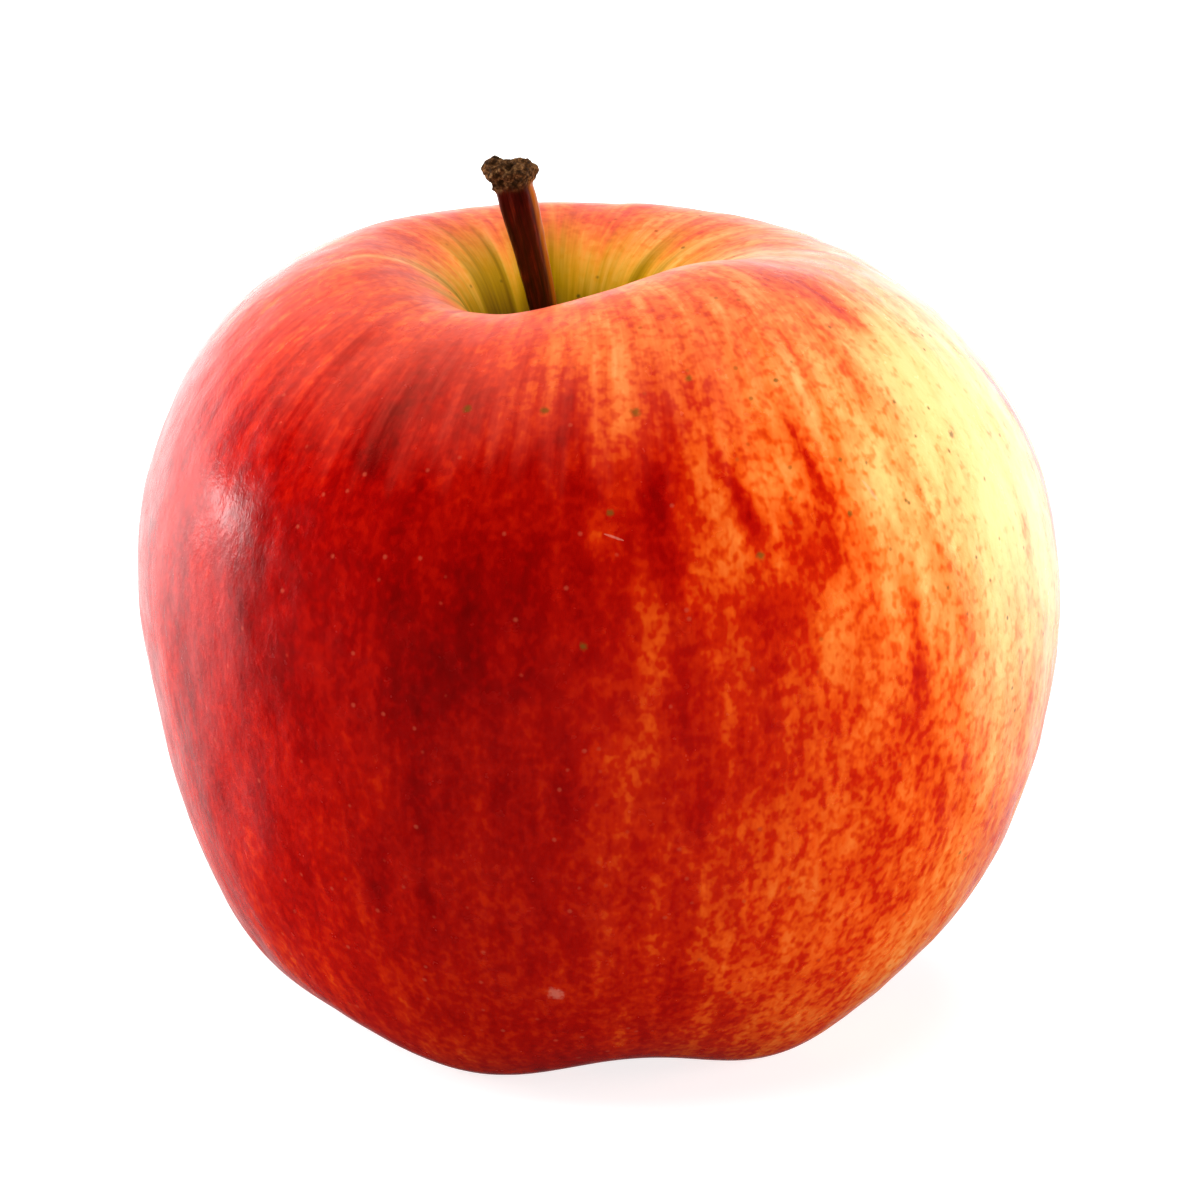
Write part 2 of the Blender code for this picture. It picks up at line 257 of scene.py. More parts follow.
# How red the skin is, from 0 (bare ground colour) to 1 (deep crimson), before its patterns: red all
# over, less on the side that grew in the shade and at the stem, then clouds of more and less red.
SHADED_SIDE = (66.0, 38.0)  # angle and spread
REDDEST, SHADE_LOSS = 0.88, 0.72
LOW_SHADE = (14.0, 52.0, 0.45)  # between these heights the loss grows, from this share to all of it
CROWN_LOSS, CROWN_EDGE = 0.33, (27.0, 49.0)  # the crown is paler, and the red deepens along here
CAVITY_LOSS, CAVITY_EDGE = 0.36, (9.0, 24.0)  # the cavity's wall is paler still
RED_CLOUDS = (  # angle, distance along the skin, spread round in degrees, spread along, more red
    (-14.0, 60.0, 13.0, 11.0, 0.12),
    (-45.0, 34.0, 28.0, 10.0, 0.10),
    (-100.0, 30.0, 40.0, 8.0, 0.10),
    (178.0, 24.0, 24.0, 7.0, 0.10),
    (64.0, 28.0, 30.0, 9.0, 0.38),
    (-24.0, 36.0, 13.0, 7.0, 0.12),
    (2.0, 43.0, 8.0, 5.0, -0.10),
    (4.0, 36.0, 13.0, 5.0, -0.12),
    (38.0, 58.0, 5.0, 6.0, -0.10),
    (3.0, 74.0, 5.0, 8.0, -0.14),
    (-1.0, 53.0, 2.5, 2.5, -0.16),
    (9.0, 60.0, 9.0, 12.0, -0.10),
    (13.0, 46.0, 4.0, 5.0, -0.10),
    (17.0, 52.0, 2.5, 4.5, -0.14),
    (12.5, 57.0, 3.0, 3.0, -0.16),
    (14.0, 65.5, 2.5, 3.0, -0.16),
    (24.0, 49.5, 3.5, 4.5, -0.16),
    (28.5, 62.5, 3.0, 4.0, -0.14),
    (37.0, 49.0, 6.0, 7.0, -0.14),
    (-40.0, 58.0, 8.0, 7.0, 0.10),
    (30.0, 82.0, 14.0, 12.0, -0.06),
    (22.5, 61.0, 3.5, 3.5, 0.16),
    (11.0, 65.0, 3.0, 5.0, 0.16),
    (13.0, 75.0, 5.0, 6.0, 0.12),
    (27.0, 55.0, 4.0, 4.0, 0.12),
    (44.0, 66.0, 7.0, 11.0, 0.10),
    (52.0, 33.0, 18.0, 7.0, 0.12),
    (25.0, 43.5, 5.0, 4.0, -0.10),
    (-40.0, 62.0, 26.0, 16.0, 0.08),
    (14.0, 86.0, 14.0, 10.0, -0.14),
    (60.0, 46.0, 10.0, 8.0, -0.10),
    (0.0, 102.0, 400.0, 14.0, -0.08),
    (150.0, 60.0, 60.0, 60.0, -0.06),
)
# Flames: dark red tongues that point to the stem. Angle and distance along the skin of the upper
# tip, the same of the lower end, half width in millimetres, and how much redder.
FLAME_TOP, FLAME_BOTTOM = (-0.08, 0.45), (0.75, 1.15)  # the shares of its length where it fades
FLAME_TIP = 0.45  # the upper tip's share of the width
FLAMES = (
    (7.0, 44.0, 8.5, 60.0, 2.0, 0.26),
    (15.0, 45.0, 20.5, 54.8, 1.2, 0.30),
    (27.0, 43.5, 31.0, 52.5, 0.6, 0.18),
    (39.0, 54.0, 41.0, 70.0, 1.1, 0.16),
    (47.0, 58.0, 49.0, 68.0, 1.1, 0.08),
    (48.0, 30.0, 52.0, 38.0, 1.0, 0.22),
    (-4.0, 38.0, -5.0, 45.0, 1.2, 0.20),
    (-33.0, 34.0, -31.0, 50.0, 3.0, 0.12),
    (84.0, 40.0, 88.0, 66.0, 1.6, 0.34),
    (104.0, 46.0, 106.0, 72.0, 2.2, 0.36),
    (131.0, 38.0, 133.0, 60.0, 1.4, 0.30),
    (171.0, 44.0, 168.0, 66.0, 2.2, 0.30),
    (-140.0, 40.0, -143.0, 60.0, 1.7, 0.24),
    (-96.0, 44.0, -94.0, 70.0, 2.0, 0.20),
)


def redness(angle, along, height):
    """REDDEST, less the losses of the shaded side, crown and cavity, and the clouds and flames."""
    low, high, share = LOW_SHADE
    loss = share + (1 - share) * smooth_step(height, low, high)
    red = REDDEST - SHADE_LOSS * angle_hump(angle, *SHADED_SIDE) * loss
    crown = CROWN_LOSS * (1 - smooth_step(along, *CROWN_EDGE))
    red = red - crown * np.clip(red / REDDEST, 0, 1)
    red = red - CAVITY_LOSS * (1 - smooth_step(along, *CAVITY_EDGE))
    for turn, at, wide, long, more in RED_CLOUDS:
        red = red + more * angle_hump(angle, turn, wide) * hump(along, at, long)
    for turn, top, low_turn, bottom, half, more in FLAMES:
        share = (along - top) / (bottom - top)
        down = np.clip(share, 0, 1)
        body = smooth_step(share, *FLAME_TOP) * (1 - smooth_step(share, *FLAME_BOTTOM))
        spread = np.degrees(half / BELLY_RADIUS) * (FLAME_TIP + (1 - FLAME_TIP) * down)
        red = red + more * body * angle_hump(angle, turn + (low_turn - turn) * down, spread)
    return red


NEVER_ZERO = 1e-9  # the end rings are points, whose steps round have no length


def outward(points):
    """The unit normal at each point of a grid of rings, from its steps along and round."""
    along = np.gradient(points, axis=0)
    round_it = np.roll(points, -1, axis=1) - np.roll(points, 1, axis=1)
    normal = np.cross(round_it, along)
    length = np.linalg.norm(normal, axis=2, keepdims=True)
    return normal / np.maximum(length, NEVER_ZERO)


# Low unevenness of a grown surface: swells a finger's breadth apart, then dimples. It fades out
# low at the foot and in the cavity.
UNEVEN = ((9.0, 0.045), (4.0, 0.02))  # length of the waves, height
UNEVEN_WAVES, UNEVEN_SEED, MOST_RISE = 14, 11, 0.1
EVEN_FOOT, EVEN_CAVITY = (0.4, 6.0), (3.0, 20.0)  # heights, distances along the skin

skin, turn, along = fruit_surface(SKIN_ROWS, SKIN_COLUMNS)
along = along - SKIN_START
fruit_middle = (skin.min(axis=(0, 1)) + skin.max(axis=(0, 1))) / 2 * [1, 1, 0]
skin = skin - fruit_middle
skin_marks = {
    "skin_way": np.stack([BELLY_RADIUS * np.sin(turn), BELLY_RADIUS * np.cos(turn), along], axis=2),
    "redness": redness(turn, along, skin[..., 2]),
    "from_stem": along,
}
inside = smooth_step(skin[..., 2], *EVEN_FOOT) * smooth_step(along, *EVEN_CAVITY)
rise = sum(
    high * gentle_waves(skin, long, UNEVEN_WAVES, UNEVEN_SEED + i)
    for i, (long, high) in enumerate(UNEVEN)
)
skin = skin + outward(skin) * (np.minimum(rise, MOST_RISE) * inside)[..., None]
fruit = turned_piece("apple_fruit", skin, skin_marks)


def skin_place(angle, distance):
    """The skin's point at an angle in degrees and a distance from the stem, in metres."""
    row = int(np.argmin(np.abs(along[:, 0] - distance)))
    column = int(round(angle / 360 * SKIN_COLUMNS)) % SKIN_COLUMNS
    return skin[row, column] * MM


def linear(code):
    """The linear red, green, blue and alpha of an sRGB hex value."""
    parts = np.array([int(code[i : i + 2], 16) for i in (1, 3, 5)]) / 255
    parts = np.where(parts <= 0.04045, parts / 12.92, ((parts + 0.055) / 1.055) ** 2.4)
    return (*parts.tolist(), 1.0)


def fill(tree, made, links):
    """Gives a node's sockets, by name or number, another node's output or a value."""
    for socket, value in links.items() if isinstance(links, dict) else enumerate(links):
        if isinstance(value, bpy.types.NodeSocket):
            tree.links.new(value, made.inputs[socket])
        else:
            made.inputs[socket].default_value = value


def node(tree, kind, links=(), take=0, stops=(), **settings):
    """Adds a node with its settings and gives the output that take names or numbers.

    links fill its sockets, as a list from the first one on, or by name or number. stops are a
    colour ramp's places and hex colours.
    """
    made = tree.nodes.new(kind)
    for name, value in settings.items():
        setattr(made, name, value)
    fill(tree, made, links)
    for i, (place, colour) in enumerate(stops):
        steps = made.color_ramp.elements
        step = steps[i] if i < len(steps) else steps.new(place)
        step.position = place
        step.color = linear(colour)
    return made.outputs[take] if made.outputs else None


def new_material(name):
    """A material, with its node tree and its shader."""
    material = bpy.data.materials.new(name)
    material.use_nodes = True
    return material, material.node_tree, material.node_tree.nodes["Principled BSDF"]


def growth(tree, where, size, stretch=(1, 1, 1), detail=3.0, roughness=0.6, start=(0, 0, 0)):
    """How grown tissue varies: fractal noise about size across, longer where stretch is below 1."""
    links = {"Vector": where, "Scale": tuple(part / size for part in stretch), "Location": start}
    scaled = node(tree, "ShaderNodeMapping", links)
    links = {"Vector": scaled, "Scale": 1.0, "Detail": detail, "Roughness": roughness}
    return node(tree, "ShaderNodeTexNoise", links)


def tinged(tree, level, pattern, depth):
    """level, raised by depth times how far the pattern lies above its middle, a half."""
    above = node(tree, "ShaderNodeMath", [pattern, 0.5], operation="SUBTRACT")
    return node(tree, "ShaderNodeMath", [above, depth, level], operation="MULTIPLY_ADD")


# Apple skin: a waxed living skin over pale flesh, red where the sun reached it. The red tint turns
# the yellow ground orange, and grains of deeper red gather into flecks, drawn out into streaks
# near the stem. To the eye it is mottled and soft, with a broad, pale gloss from the wax.
DEEPEST = 1.2  # the redness of the last shade
SKIN_SHADES = (
    (0.00, "#E2BC76"),
    (0.12, "#E2AC66"),
    (0.23, "#DE8C48"),
    (0.35, "#D86A26"),
    (0.47, "#CC460C"),
    (0.58, "#B41E03"),
    (0.70, "#9E0A02"),
    (0.84, "#860201"),
    (1.00, "#640101"),
)
CROWN_TINT_AND_SHEEN = "#EE7E64"  # thin red over white flesh, round the cavity, and the wax's pink sheen painted in
CAVITY_SHADES = ((0.06, "#3A2600"), (0.30, "#6C4E00"), (0.50, "#A07C00"), (0.72, "#D8A806"))
PORE_SHADES = ((0.30, "#4E4612"), (0.55, "#7A3A10"), (0.80, "#B84A34"))
LARGE_PORE = "#5E4414"
LARGE_PORES = (  # angle, distance along the skin, radius in millimetres
    (-20.0, 40.3, 0.40),
    (-8.0, 41.0, 0.42),
    (6.0, 42.0, 0.45),
    (15.0, 40.0, 0.35),
    (2.0, 51.5, 0.35),
    (20.0, 55.6, 0.42),
    (-2.0, 62.5, 0.35),
    (57.0, 48.7, 0.40),
    (28.0, 41.3, 0.24),
    (34.0, 48.7, 0.26),
    (38.0, 49.4, 0.22),
    (48.0, 45.0, 0.26),
    (49.0, 48.0, 0.22),
    (54.0, 50.0, 0.24),
    (33.0, 53.4, 0.28),
    (60.0, 53.1, 0.24),
    (43.0, 53.4, 0.22),
    (46.0, 60.5, 0.24),
    (98.0, 52.0, 0.45),
    (141.0, 47.0, 0.50),
    (-120.0, 58.0, 0.45),
)
# Painted glints: pale streaks painted into the colour, highlights where small dents catch the
# light.
PAINTED_GLINT = "#E0A088"
PAINTED_GLINTS = (  # angle and distance of each end of a painted glint, and its half width
    (1.0, 53.2, 3.5, 53.9, 0.11),
    (36.5, 50.9, 38.2, 52.7, 0.16),
    (-6.4, 94.8, -5.6, 95.2, 0.60),
    (112.0, 58.0, 116.0, 59.0, 0.18),
)
FAR_OFF = 9.0  # in radii of a pore or half widths of a painted glint, where neither reaches
# Patterns of growth: size, stretch along three axes, detail, roughness and start. Those that follow
# the skin's own way have their size in millimetres, and those on Object coordinates in metres.
STREAKS = (2.2, (1, 1, 0.12), 3.0, 0.6, (31, 7, 3))
CLOUDS, CLOUD_DEPTH = (6.0, (1, 1, 0.3)), 0.34
BLOTS, BLOT_DEPTH = (3.2, (1, 1, 0.5), 4.0, 0.58, (5, 3, 8)), 0.43
HAZE, HAZE_DEPTH = (1.3 * MM, (1, 1, 0.8), 2.0, 0.55, (9, 9, 9)), 0.22
GRAINS, GRAIN_GATHER = (0.72 * MM, (1, 1, 0.8), 1.0, 0.5, (3, 17, 9)), 0.32
WALL_STREAKS, WALL_RAGGED = (6.5, (1, 1, 0.14), 4.0, 0.6, (2, 2, 2)), 16.0
EDGE_GRAIN = (0.4 * MM, (1, 1, 1), 2.0)
PORE_SPACING = 2.4 * MM
WAX = (2.5 * MM, (1, 1, 1), 3.0, 0.6, (4, 5, 6))
DIMPLES, DIMPLE_DEPTH = (0.9 * MM, (1, 1, 0.8), 3.0, 0.7, (8, 1, 5)), 0.05 * MM
TINT_AND_SHEEN_RAGGED, PORE_RAGGED, LARGE_RAGGED, GLINT_RAGGED = 20.0, 0.05, 1.4, 2.6
# Soft edges: where each begins and ends, in millimetres from the stem or as a level of redness or
# of a pattern, and how strong the feature is at its two ends.
SOFT = {"interpolation_type": "SMOOTHSTEP"}
STREAK_FADE = (32.0, 58.0, 0.54, 0.25)
GRAIN_EDGE = (0.56, 0.92)
GRAIN_CONTRAST = (0.30, 0.80, 0.18, 0.12)
TINT_AND_SHEEN_FADE = (26.0, 50.0, 0.24, 0.0)
BARE_FADE = (14.0, 24.5, 0.97, 0.0)
# painted shade: the cavity's wall darkens towards the stem
WALL_PAINTED_SHADE = (6.0, 17.0, -0.44, 0.07)
PORE_SHOW = (0.30, 0.65, 0.85, 0.40)
PORE_EDGE = (0.03, 0.12)
LARGE_EDGE = (0.2, 1.3, 0.75, 0.0)
GLINT_EDGE = (0.1, 1.6, 0.26, 0.0)
WAX_ROUGHNESS = (0.3, 0.7, 0.18, 0.28)
CAVITY_DULL = (16.0, 36.0, 0.30, 0.0)
WAX_SHINE = (9.0, 26.0, 0.04, 0.35)
WAX_IOR = 1.45


def paint_skin():
    material, tree, shader = new_material("waxed apple skin")
    way = node(tree, "ShaderNodeAttribute", take="Vector", attribute_name="skin_way")
    red = node(tree, "ShaderNodeAttribute", take="Fac", attribute_name="redness")
    from_stem = node(tree, "ShaderNodeAttribute", take="Fac", attribute_name="from_stem")
    place = node(tree, "ShaderNodeTexCoord", take="Object")

    # How redness varies: long streaks, strongest on the crown, then clouds, and blots in them.
    streaks = growth(tree, way, *STREAKS)
    strength = node(tree, "ShaderNodeMapRange", [from_stem, *STREAK_FADE], **SOFT)
    level = tinged(tree, red, streaks, strength)
    level = tinged(tree, level, growth(tree, way, *CLOUDS), CLOUD_DEPTH)
    level = tinged(tree, level, growth(tree, way, *BLOTS), BLOT_DEPTH)

    # Grains under a millimetre across are a step redder, and stand closer where the tint is deep.
    haze = growth(tree, place, *HAZE)
    grain = growth(tree, place, *GRAINS)
    cover = node(tree, "ShaderNodeMath", [level, GRAIN_GATHER, grain], operation="MULTIPLY_ADD")
    grained = node(tree, "ShaderNodeMapRange", [cover, *GRAIN_EDGE], **SOFT)
    contrast = node(tree, "ShaderNodeMapRange", [level, *GRAIN_CONTRAST], **SOFT)
    depth = tinged(tree, tinged(tree, level, haze, HAZE_DEPTH), grained, contrast)
    depth = node(tree, "ShaderNodeMath", [depth, 1 / DEEPEST], operation="MULTIPLY")
    colour = node(tree, "ShaderNodeValToRGB", [depth], stops=SKIN_SHADES)
    # The crown is pinker: partly its thin red over white flesh, partly painted sheen, the pink haze
    # of the gloss painted into the colour.
    from_crown = tinged(tree, from_stem, streaks, TINT_AND_SHEEN_RAGGED)
    thin = node(tree, "ShaderNodeMapRange", [from_crown, *TINT_AND_SHEEN_FADE], **SOFT)
    links = {0: thin, 6: colour, 7: linear(CROWN_TINT_AND_SHEEN)}
    colour = node(tree, "ShaderNodeMix", links, 2, data_type="RGBA")

    # The cavity's wall has hardly any red: a green and yellow ground in streaks. Far in, towards
    # the
    # stem, it is darker: painted shade in the hollow.
    green = growth(tree, way, *WALL_STREAKS)
    from_wall = tinged(tree, from_stem, green, WALL_RAGGED)
    bare = node(tree, "ShaderNodeMapRange", [from_wall, *BARE_FADE], **SOFT)
    shade = node(tree, "ShaderNodeMapRange", [from_stem, *WALL_PAINTED_SHADE], **SOFT)
    tone = node(tree, "ShaderNodeMath", [green, shade], operation="ADD")
    ground = node(tree, "ShaderNodeValToRGB", [tone], stops=CAVITY_SHADES)
    colour = node(tree, "ShaderNodeMix", {0: bare, 6: colour, 7: ground}, 2, data_type="RGBA")

    # Pores: small corky dots, dark olive on the yellow ground and pale on the red. Cells
    # over two millimetres apart, of which the skin cuts only some, so the dots differ in size.
    cells = node(tree, "ShaderNodeTexVoronoi", {"Vector": place, "Scale": 1 / PORE_SPACING})
    edge = growth(tree, place, *EDGE_GRAIN)
    share = node(tree, "ShaderNodeMapRange", [level, *PORE_SHOW], **SOFT)
    off_pore = tinged(tree, cells, edge, PORE_RAGGED)
    dot = node(tree, "ShaderNodeMapRange", [off_pore, *PORE_EDGE, share, 0.0], **SOFT)
    pore = node(tree, "ShaderNodeValToRGB", [level], stops=PORE_SHADES)
    colour = node(tree, "ShaderNodeMix", {0: dot, 6: colour, 7: pore}, 2, data_type="RGBA")
    nearest = FAR_OFF
    for angle, distance, radius in LARGE_PORES:
        middle = tuple(skin_place(angle, distance))
        away = node(tree, "ShaderNodeVectorMath", [place, middle], "Value", operation="DISTANCE")
        away = node(tree, "ShaderNodeMath", [away, 1 / (radius * MM)], operation="MULTIPLY")
        nearest = node(tree, "ShaderNodeMath", [away, nearest], operation="MINIMUM")
    nearest = tinged(tree, nearest, edge, LARGE_RAGGED)
    large = node(tree, "ShaderNodeMapRange", [nearest, *LARGE_EDGE], **SOFT)
    links = {0: large, 6: colour, 7: linear(LARGE_PORE)}
    colour = node(tree, "ShaderNodeMix", links, 2, data_type="RGBA")

    # Painted glints: short pale streaks painted into the colour, as highlights on small dents. A
    # place is as far off one as the way from end to end through that place is longer than the
    # straight one.
    beside = FAR_OFF
    for first, first_along, last, last_along, half in PAINTED_GLINTS:
        tips = skin_place(first, first_along), skin_place(last, last_along)
        straight = np.linalg.norm(tips[1] - tips[0])
        longer = 2 * np.hypot(straight / 2, half * MM) - straight
        ways = [
            node(tree, "ShaderNodeVectorMath", [place, tuple(tip)], "Value", operation="DISTANCE")
            for tip in tips
        ]
        away = node(tree, "ShaderNodeMath", ways, operation="ADD")
        away = node(tree, "ShaderNodeMath", [away, straight], operation="SUBTRACT")
        away = node(tree, "ShaderNodeMath", [away, 1 / longer], operation="MULTIPLY")
        beside = node(tree, "ShaderNodeMath", [away, beside], operation="MINIMUM")
    beside = tinged(tree, beside, edge, GLINT_RAGGED)
    glinting = node(tree, "ShaderNodeMapRange", [beside, *GLINT_EDGE], **SOFT)
    links = {0: glinting, 6: colour, 7: linear(PAINTED_GLINT)}
    colour = node(tree, "ShaderNodeMix", links, 2, data_type="RGBA")

    # The wax is a little uneven, and the skin under it very finely dimpled. The crown is duller,
    # and the cavity's wall, which no hand or leaf has polished, hardly shines.
    wax = growth(tree, place, *WAX)
    dull = node(tree, "ShaderNodeMapRange", [from_stem, *CAVITY_DULL], **SOFT)
    rough = node(tree, "ShaderNodeMapRange", [wax, *WAX_ROUGHNESS], **SOFT)
    links = {"Height": growth(tree, place, *DIMPLES), "Strength": 1.0, "Distance": DIMPLE_DEPTH}
    finish = {
        "Base Color": colour,
        "Roughness": node(tree, "ShaderNodeMath", [rough, dull]),
        "Normal": node(tree, "ShaderNodeBump", links),
        "Specular IOR Level": node(tree, "ShaderNodeMapRange", [from_stem, *WAX_SHINE], **SOFT),
        "IOR": WAX_IOR,
    }
    fill(tree, shader, finish)
    return material


fruit.data.materials.append(paint_skin())
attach(fruit, "root")
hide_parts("fruit")

# ------------------------------------------------------------------------------------------------
# The stem: the woody stalk that the fruit hung by, thinnest at its middle, with low ridges along
# it. It ends below in the flesh, and above in a corky knob, where it came away from the twig.
# ------------------------------------------------------------------------------------------------

STEM_OUTLINE = (  # (radius, distance from the foot)
    (0.0, 0.0),
    (0.7, 0.1),
    (1.1, 0.6),
    (1.2, 1.8),
    (1.15, 6.0),
    (1.12, 15.0),
    (1.30, 20.0),
    (1.48, 24.0),
    (1.62, 27.6),
    (1.66, 28.7),
    (1.84, 29.2),
    (1.98, 29.9),
    (1.50, 30.7),
    (0.0, 30.9),
)
STEM_LINE = ((-2.2, 0.0, 44.8), (-4.6, 0.0, 62.2), (-7.7, 0.0, 75.3))
STEM_ROWS, STEM_COLUMNS = 360, 168  # steps along the bark and round it
RIDGES = ((3, 0.05, 40.0), (5, 0.035, 10.0), (9, 0.015, 25.0))  # count, share of the radius, angle
KNOB_RADIUS, KNOB_FROM = 2.1, (28.0, 28.9)
LUMPS = (  # angle, distance from the foot, height, spread
    (-95.0, 29.8, 0.28, 0.8),
    (95.0, 29.8, 0.45, 0.8),
    (20.0, 29.5, 0.25, 0.9),
    (160.0, 29.6, 0.40, 1.0),
)
SADDLE, SADDLE_AT, SADDLE_WIDTH = 0.45, 0.1, 0.8  # the top is this much lower between two lumps
TOP_TILT = 0.28  # and its left side stands this share of its radius higher
SADDLE_RISE, TILT_RISE = (29.4, 30.8), (28.6, 30.8)  # both grow between these distances
CORK_GRAINS = ((1.3, 0.13), (0.65, 0.08), (0.33, 0.035))  # length of the waves, height
BARK_GRAIN, BARK_STRETCH = (0.5, 0.012), (1, 1, 0.15)  # the bark's grain runs along the stem
CORK_WAVES, CORK_SEED, BARK_WAVES, BARK_SEED = 16, 5, 12, 3
CORK_CLOSES, BARK_CLOSES = (0.0, 0.4), (0.2, 1.0)  # at the stem's ends they fade in at these radii
BARK_RADIUS = 1.5  # the bark's own way counts the distance round at this radius
STEM_STEPS = 200  # of the middle line


def directions(line):
    """The unit direction of the line at each of its points."""
    way = np.gradient(line, axis=0)
    return way / np.linalg.norm(way, axis=1)[:, None]


def stem_surface(rows, columns):
    """The bark's points, with the angle round the stem and the distance from its foot of each.

    A round section carried along the bent middle line, with the outline's radius there. Cosine
    ridges and the knob's humps swell it, and waves in three sizes give the knob its corky grain.
    """
    outline = round_outline(STEM_OUTLINE, rows)
    radius, along = outline[:, :1], outline[:, 1:]
    line = curve_through(STEM_LINE, STEM_STEPS)
    length = length_along(line)
    place = np.clip(along[:, 0], 0.0, length[-1])
    way = read_along(directions(line), length, place)
    middle = read_along(line, length, place) + way * (along[:, 0] - place)[:, None]
    angle = round_angles(columns)
    wide = radius * np.ones_like(angle)
    for count, share, start in RIDGES:
        wide = wide + share * radius * np.cos(count * (angle - np.radians(start)))
    for start, at, height, spread in LUMPS:
        round_it = angle_hump(angle, start, np.degrees(spread / KNOB_RADIUS))
        lump = height * round_it * hump(along, at, spread)
        wide = wide + lump * np.clip(radius / KNOB_RADIUS, 0, 1)
    right = np.stack([way[:, 2], 0 * place, -way[:, 0]], axis=1)[:, None]
    front = np.array([0.0, -1.0, 0.0])
    out = np.sin(angle)[..., None] * right + np.cos(angle)[..., None] * front
    points = middle[:, None] + wide[..., None] * out
    right_of = wide * np.sin(angle)
    sink = SADDLE * smooth_step(along, *SADDLE_RISE) * hump(right_of, SADDLE_AT, SADDLE_WIDTH)
    sink = sink + TOP_TILT * smooth_step(along, *TILT_RISE) * right_of
    points = points - sink[..., None] * way[:, None]
    cork = smooth_step(along, *KNOB_FROM) * smooth_step(radius, *CORK_CLOSES)
    grain = sum(
        high * gentle_waves(points, long, CORK_WAVES, CORK_SEED + i)
        for i, (long, high) in enumerate(CORK_GRAINS)
    )
    long, high = BARK_GRAIN
    bark = high * gentle_waves(points * BARK_STRETCH, long, BARK_WAVES, BARK_SEED)
    rise = grain * cork + bark * (1 - cork) * smooth_step(radius, *BARK_CLOSES)
    points = points + outward(points) * rise[..., None]
    return points, angle + 0 * along, along + 0 * angle


bark, bark_turn, bark_along = stem_surface(STEM_ROWS, STEM_COLUMNS)
stem_marks = {
    "bark_way": np.stack(
        [BARK_RADIUS * np.sin(bark_turn), BARK_RADIUS * np.cos(bark_turn), bark_along], axis=2
    ),
    "cork": smooth_step(bark_along, *KNOB_FROM),
}
stem = turned_piece("apple_stem", bark - fruit_middle, stem_marks)


# Dry apple stalk: thin bark, red-brown and polished by handling, over wood. The knob is bare cork,
# rough and matt. The eye sees fine dark lines along the stem. Its right side is painted paler:
# painted light, where the lamps at the right fall on it.
BARK_SHADES = ((0.25, "#100100"), (0.42, "#220200"), (0.58, "#3A0502"), (0.75, "#6C1A06"))
PAINTED_LIT_RIB = "#B05A0C"
CORK_SHADES = ((0.30, "#0E0804"), (0.46, "#2E1C0E"), (0.58, "#5A3B22"), (0.72, "#8A6640"))
BARK_LINES = (0.9, (1, 1, 0.06), 4.0)
FIBRES, FIBRE_DEPTH, FIBRE_RELIEF = (0.28, (1, 1, 0.05), 3.0, 0.6, (4, 4, 4)), 0.6, 0.4
SPOTS, SPOT_DEPTH = (0.9 * MM, (1, 1, 0.5)), 0.3
CORK_SPECKS = (0.45 * MM, (1, 1, 1), 4.0, 0.65, (7, 7, 7))
LIT_RIB_EDGE = (0.95, 1.3, 0.0, 0.7)  # the painted light on the right side: how far right in the bark's own way, and how strong
BARK_TO_CORK = (0.0, 1.0, 0.38, 0.85)  # roughness of the bark and of the cork
BARK_RELIEF = 0.12 * MM
BARK_SPECULAR = 0.22


def paint_bark():
    material, tree, shader = new_material("dry stalk bark")
    way = node(tree, "ShaderNodeAttribute", take="Vector", attribute_name="bark_way")
    cork = node(tree, "ShaderNodeAttribute", take="Fac", attribute_name="cork")
    place = node(tree, "ShaderNodeTexCoord", take="Object")
    fibre = growth(tree, way, *FIBRES)
    level = tinged(tree, growth(tree, way, *BARK_LINES), fibre, FIBRE_DEPTH)
    level = tinged(tree, level, growth(tree, place, *SPOTS), SPOT_DEPTH)
    bark_colour = node(tree, "ShaderNodeValToRGB", [level], stops=BARK_SHADES)
    # Painted light: the bark's right side is painted paler, as if lit from the right.
    side = node(tree, "ShaderNodeSeparateXYZ", [way])
    rib = node(tree, "ShaderNodeMapRange", [side, *LIT_RIB_EDGE], **SOFT)
    links = {0: rib, 6: bark_colour, 7: linear(PAINTED_LIT_RIB)}
    bark_colour = node(tree, "ShaderNodeMix", links, 2, data_type="RGBA")
    speck = growth(tree, place, *CORK_SPECKS)
    cork_colour = node(tree, "ShaderNodeValToRGB", [speck], stops=CORK_SHADES)
    links = {0: cork, 6: bark_colour, 7: cork_colour}
    colour = node(tree, "ShaderNodeMix", links, 2, data_type="RGBA")
    relief = node(tree, "ShaderNodeMath", [fibre, FIBRE_RELIEF], operation="MULTIPLY")
    relief = node(tree, "ShaderNodeMath", [speck, cork, relief], operation="MULTIPLY_ADD")
    links = {"Height": relief, "Strength": 1.0, "Distance": BARK_RELIEF}
    finish = {
        "Base Color": colour,
        "Roughness": node(tree, "ShaderNodeMapRange", [cork, *BARK_TO_CORK], **SOFT),
        "Normal": node(tree, "ShaderNodeBump", links),
        "Specular IOR Level": BARK_SPECULAR,
    }
    fill(tree, shader, finish)
    return material


stem.data.materials.append(paint_bark())
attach(stem, "root")
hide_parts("stem")

# ------------------------------------------------------------------------------------------------
# The calyx: what is left of the flower. Five dry sepals curl out of a short plug in the basin
# under the fruit, round a tuft of dead stamens. All of it is one papery, brown piece of growth.
# ------------------------------------------------------------------------------------------------

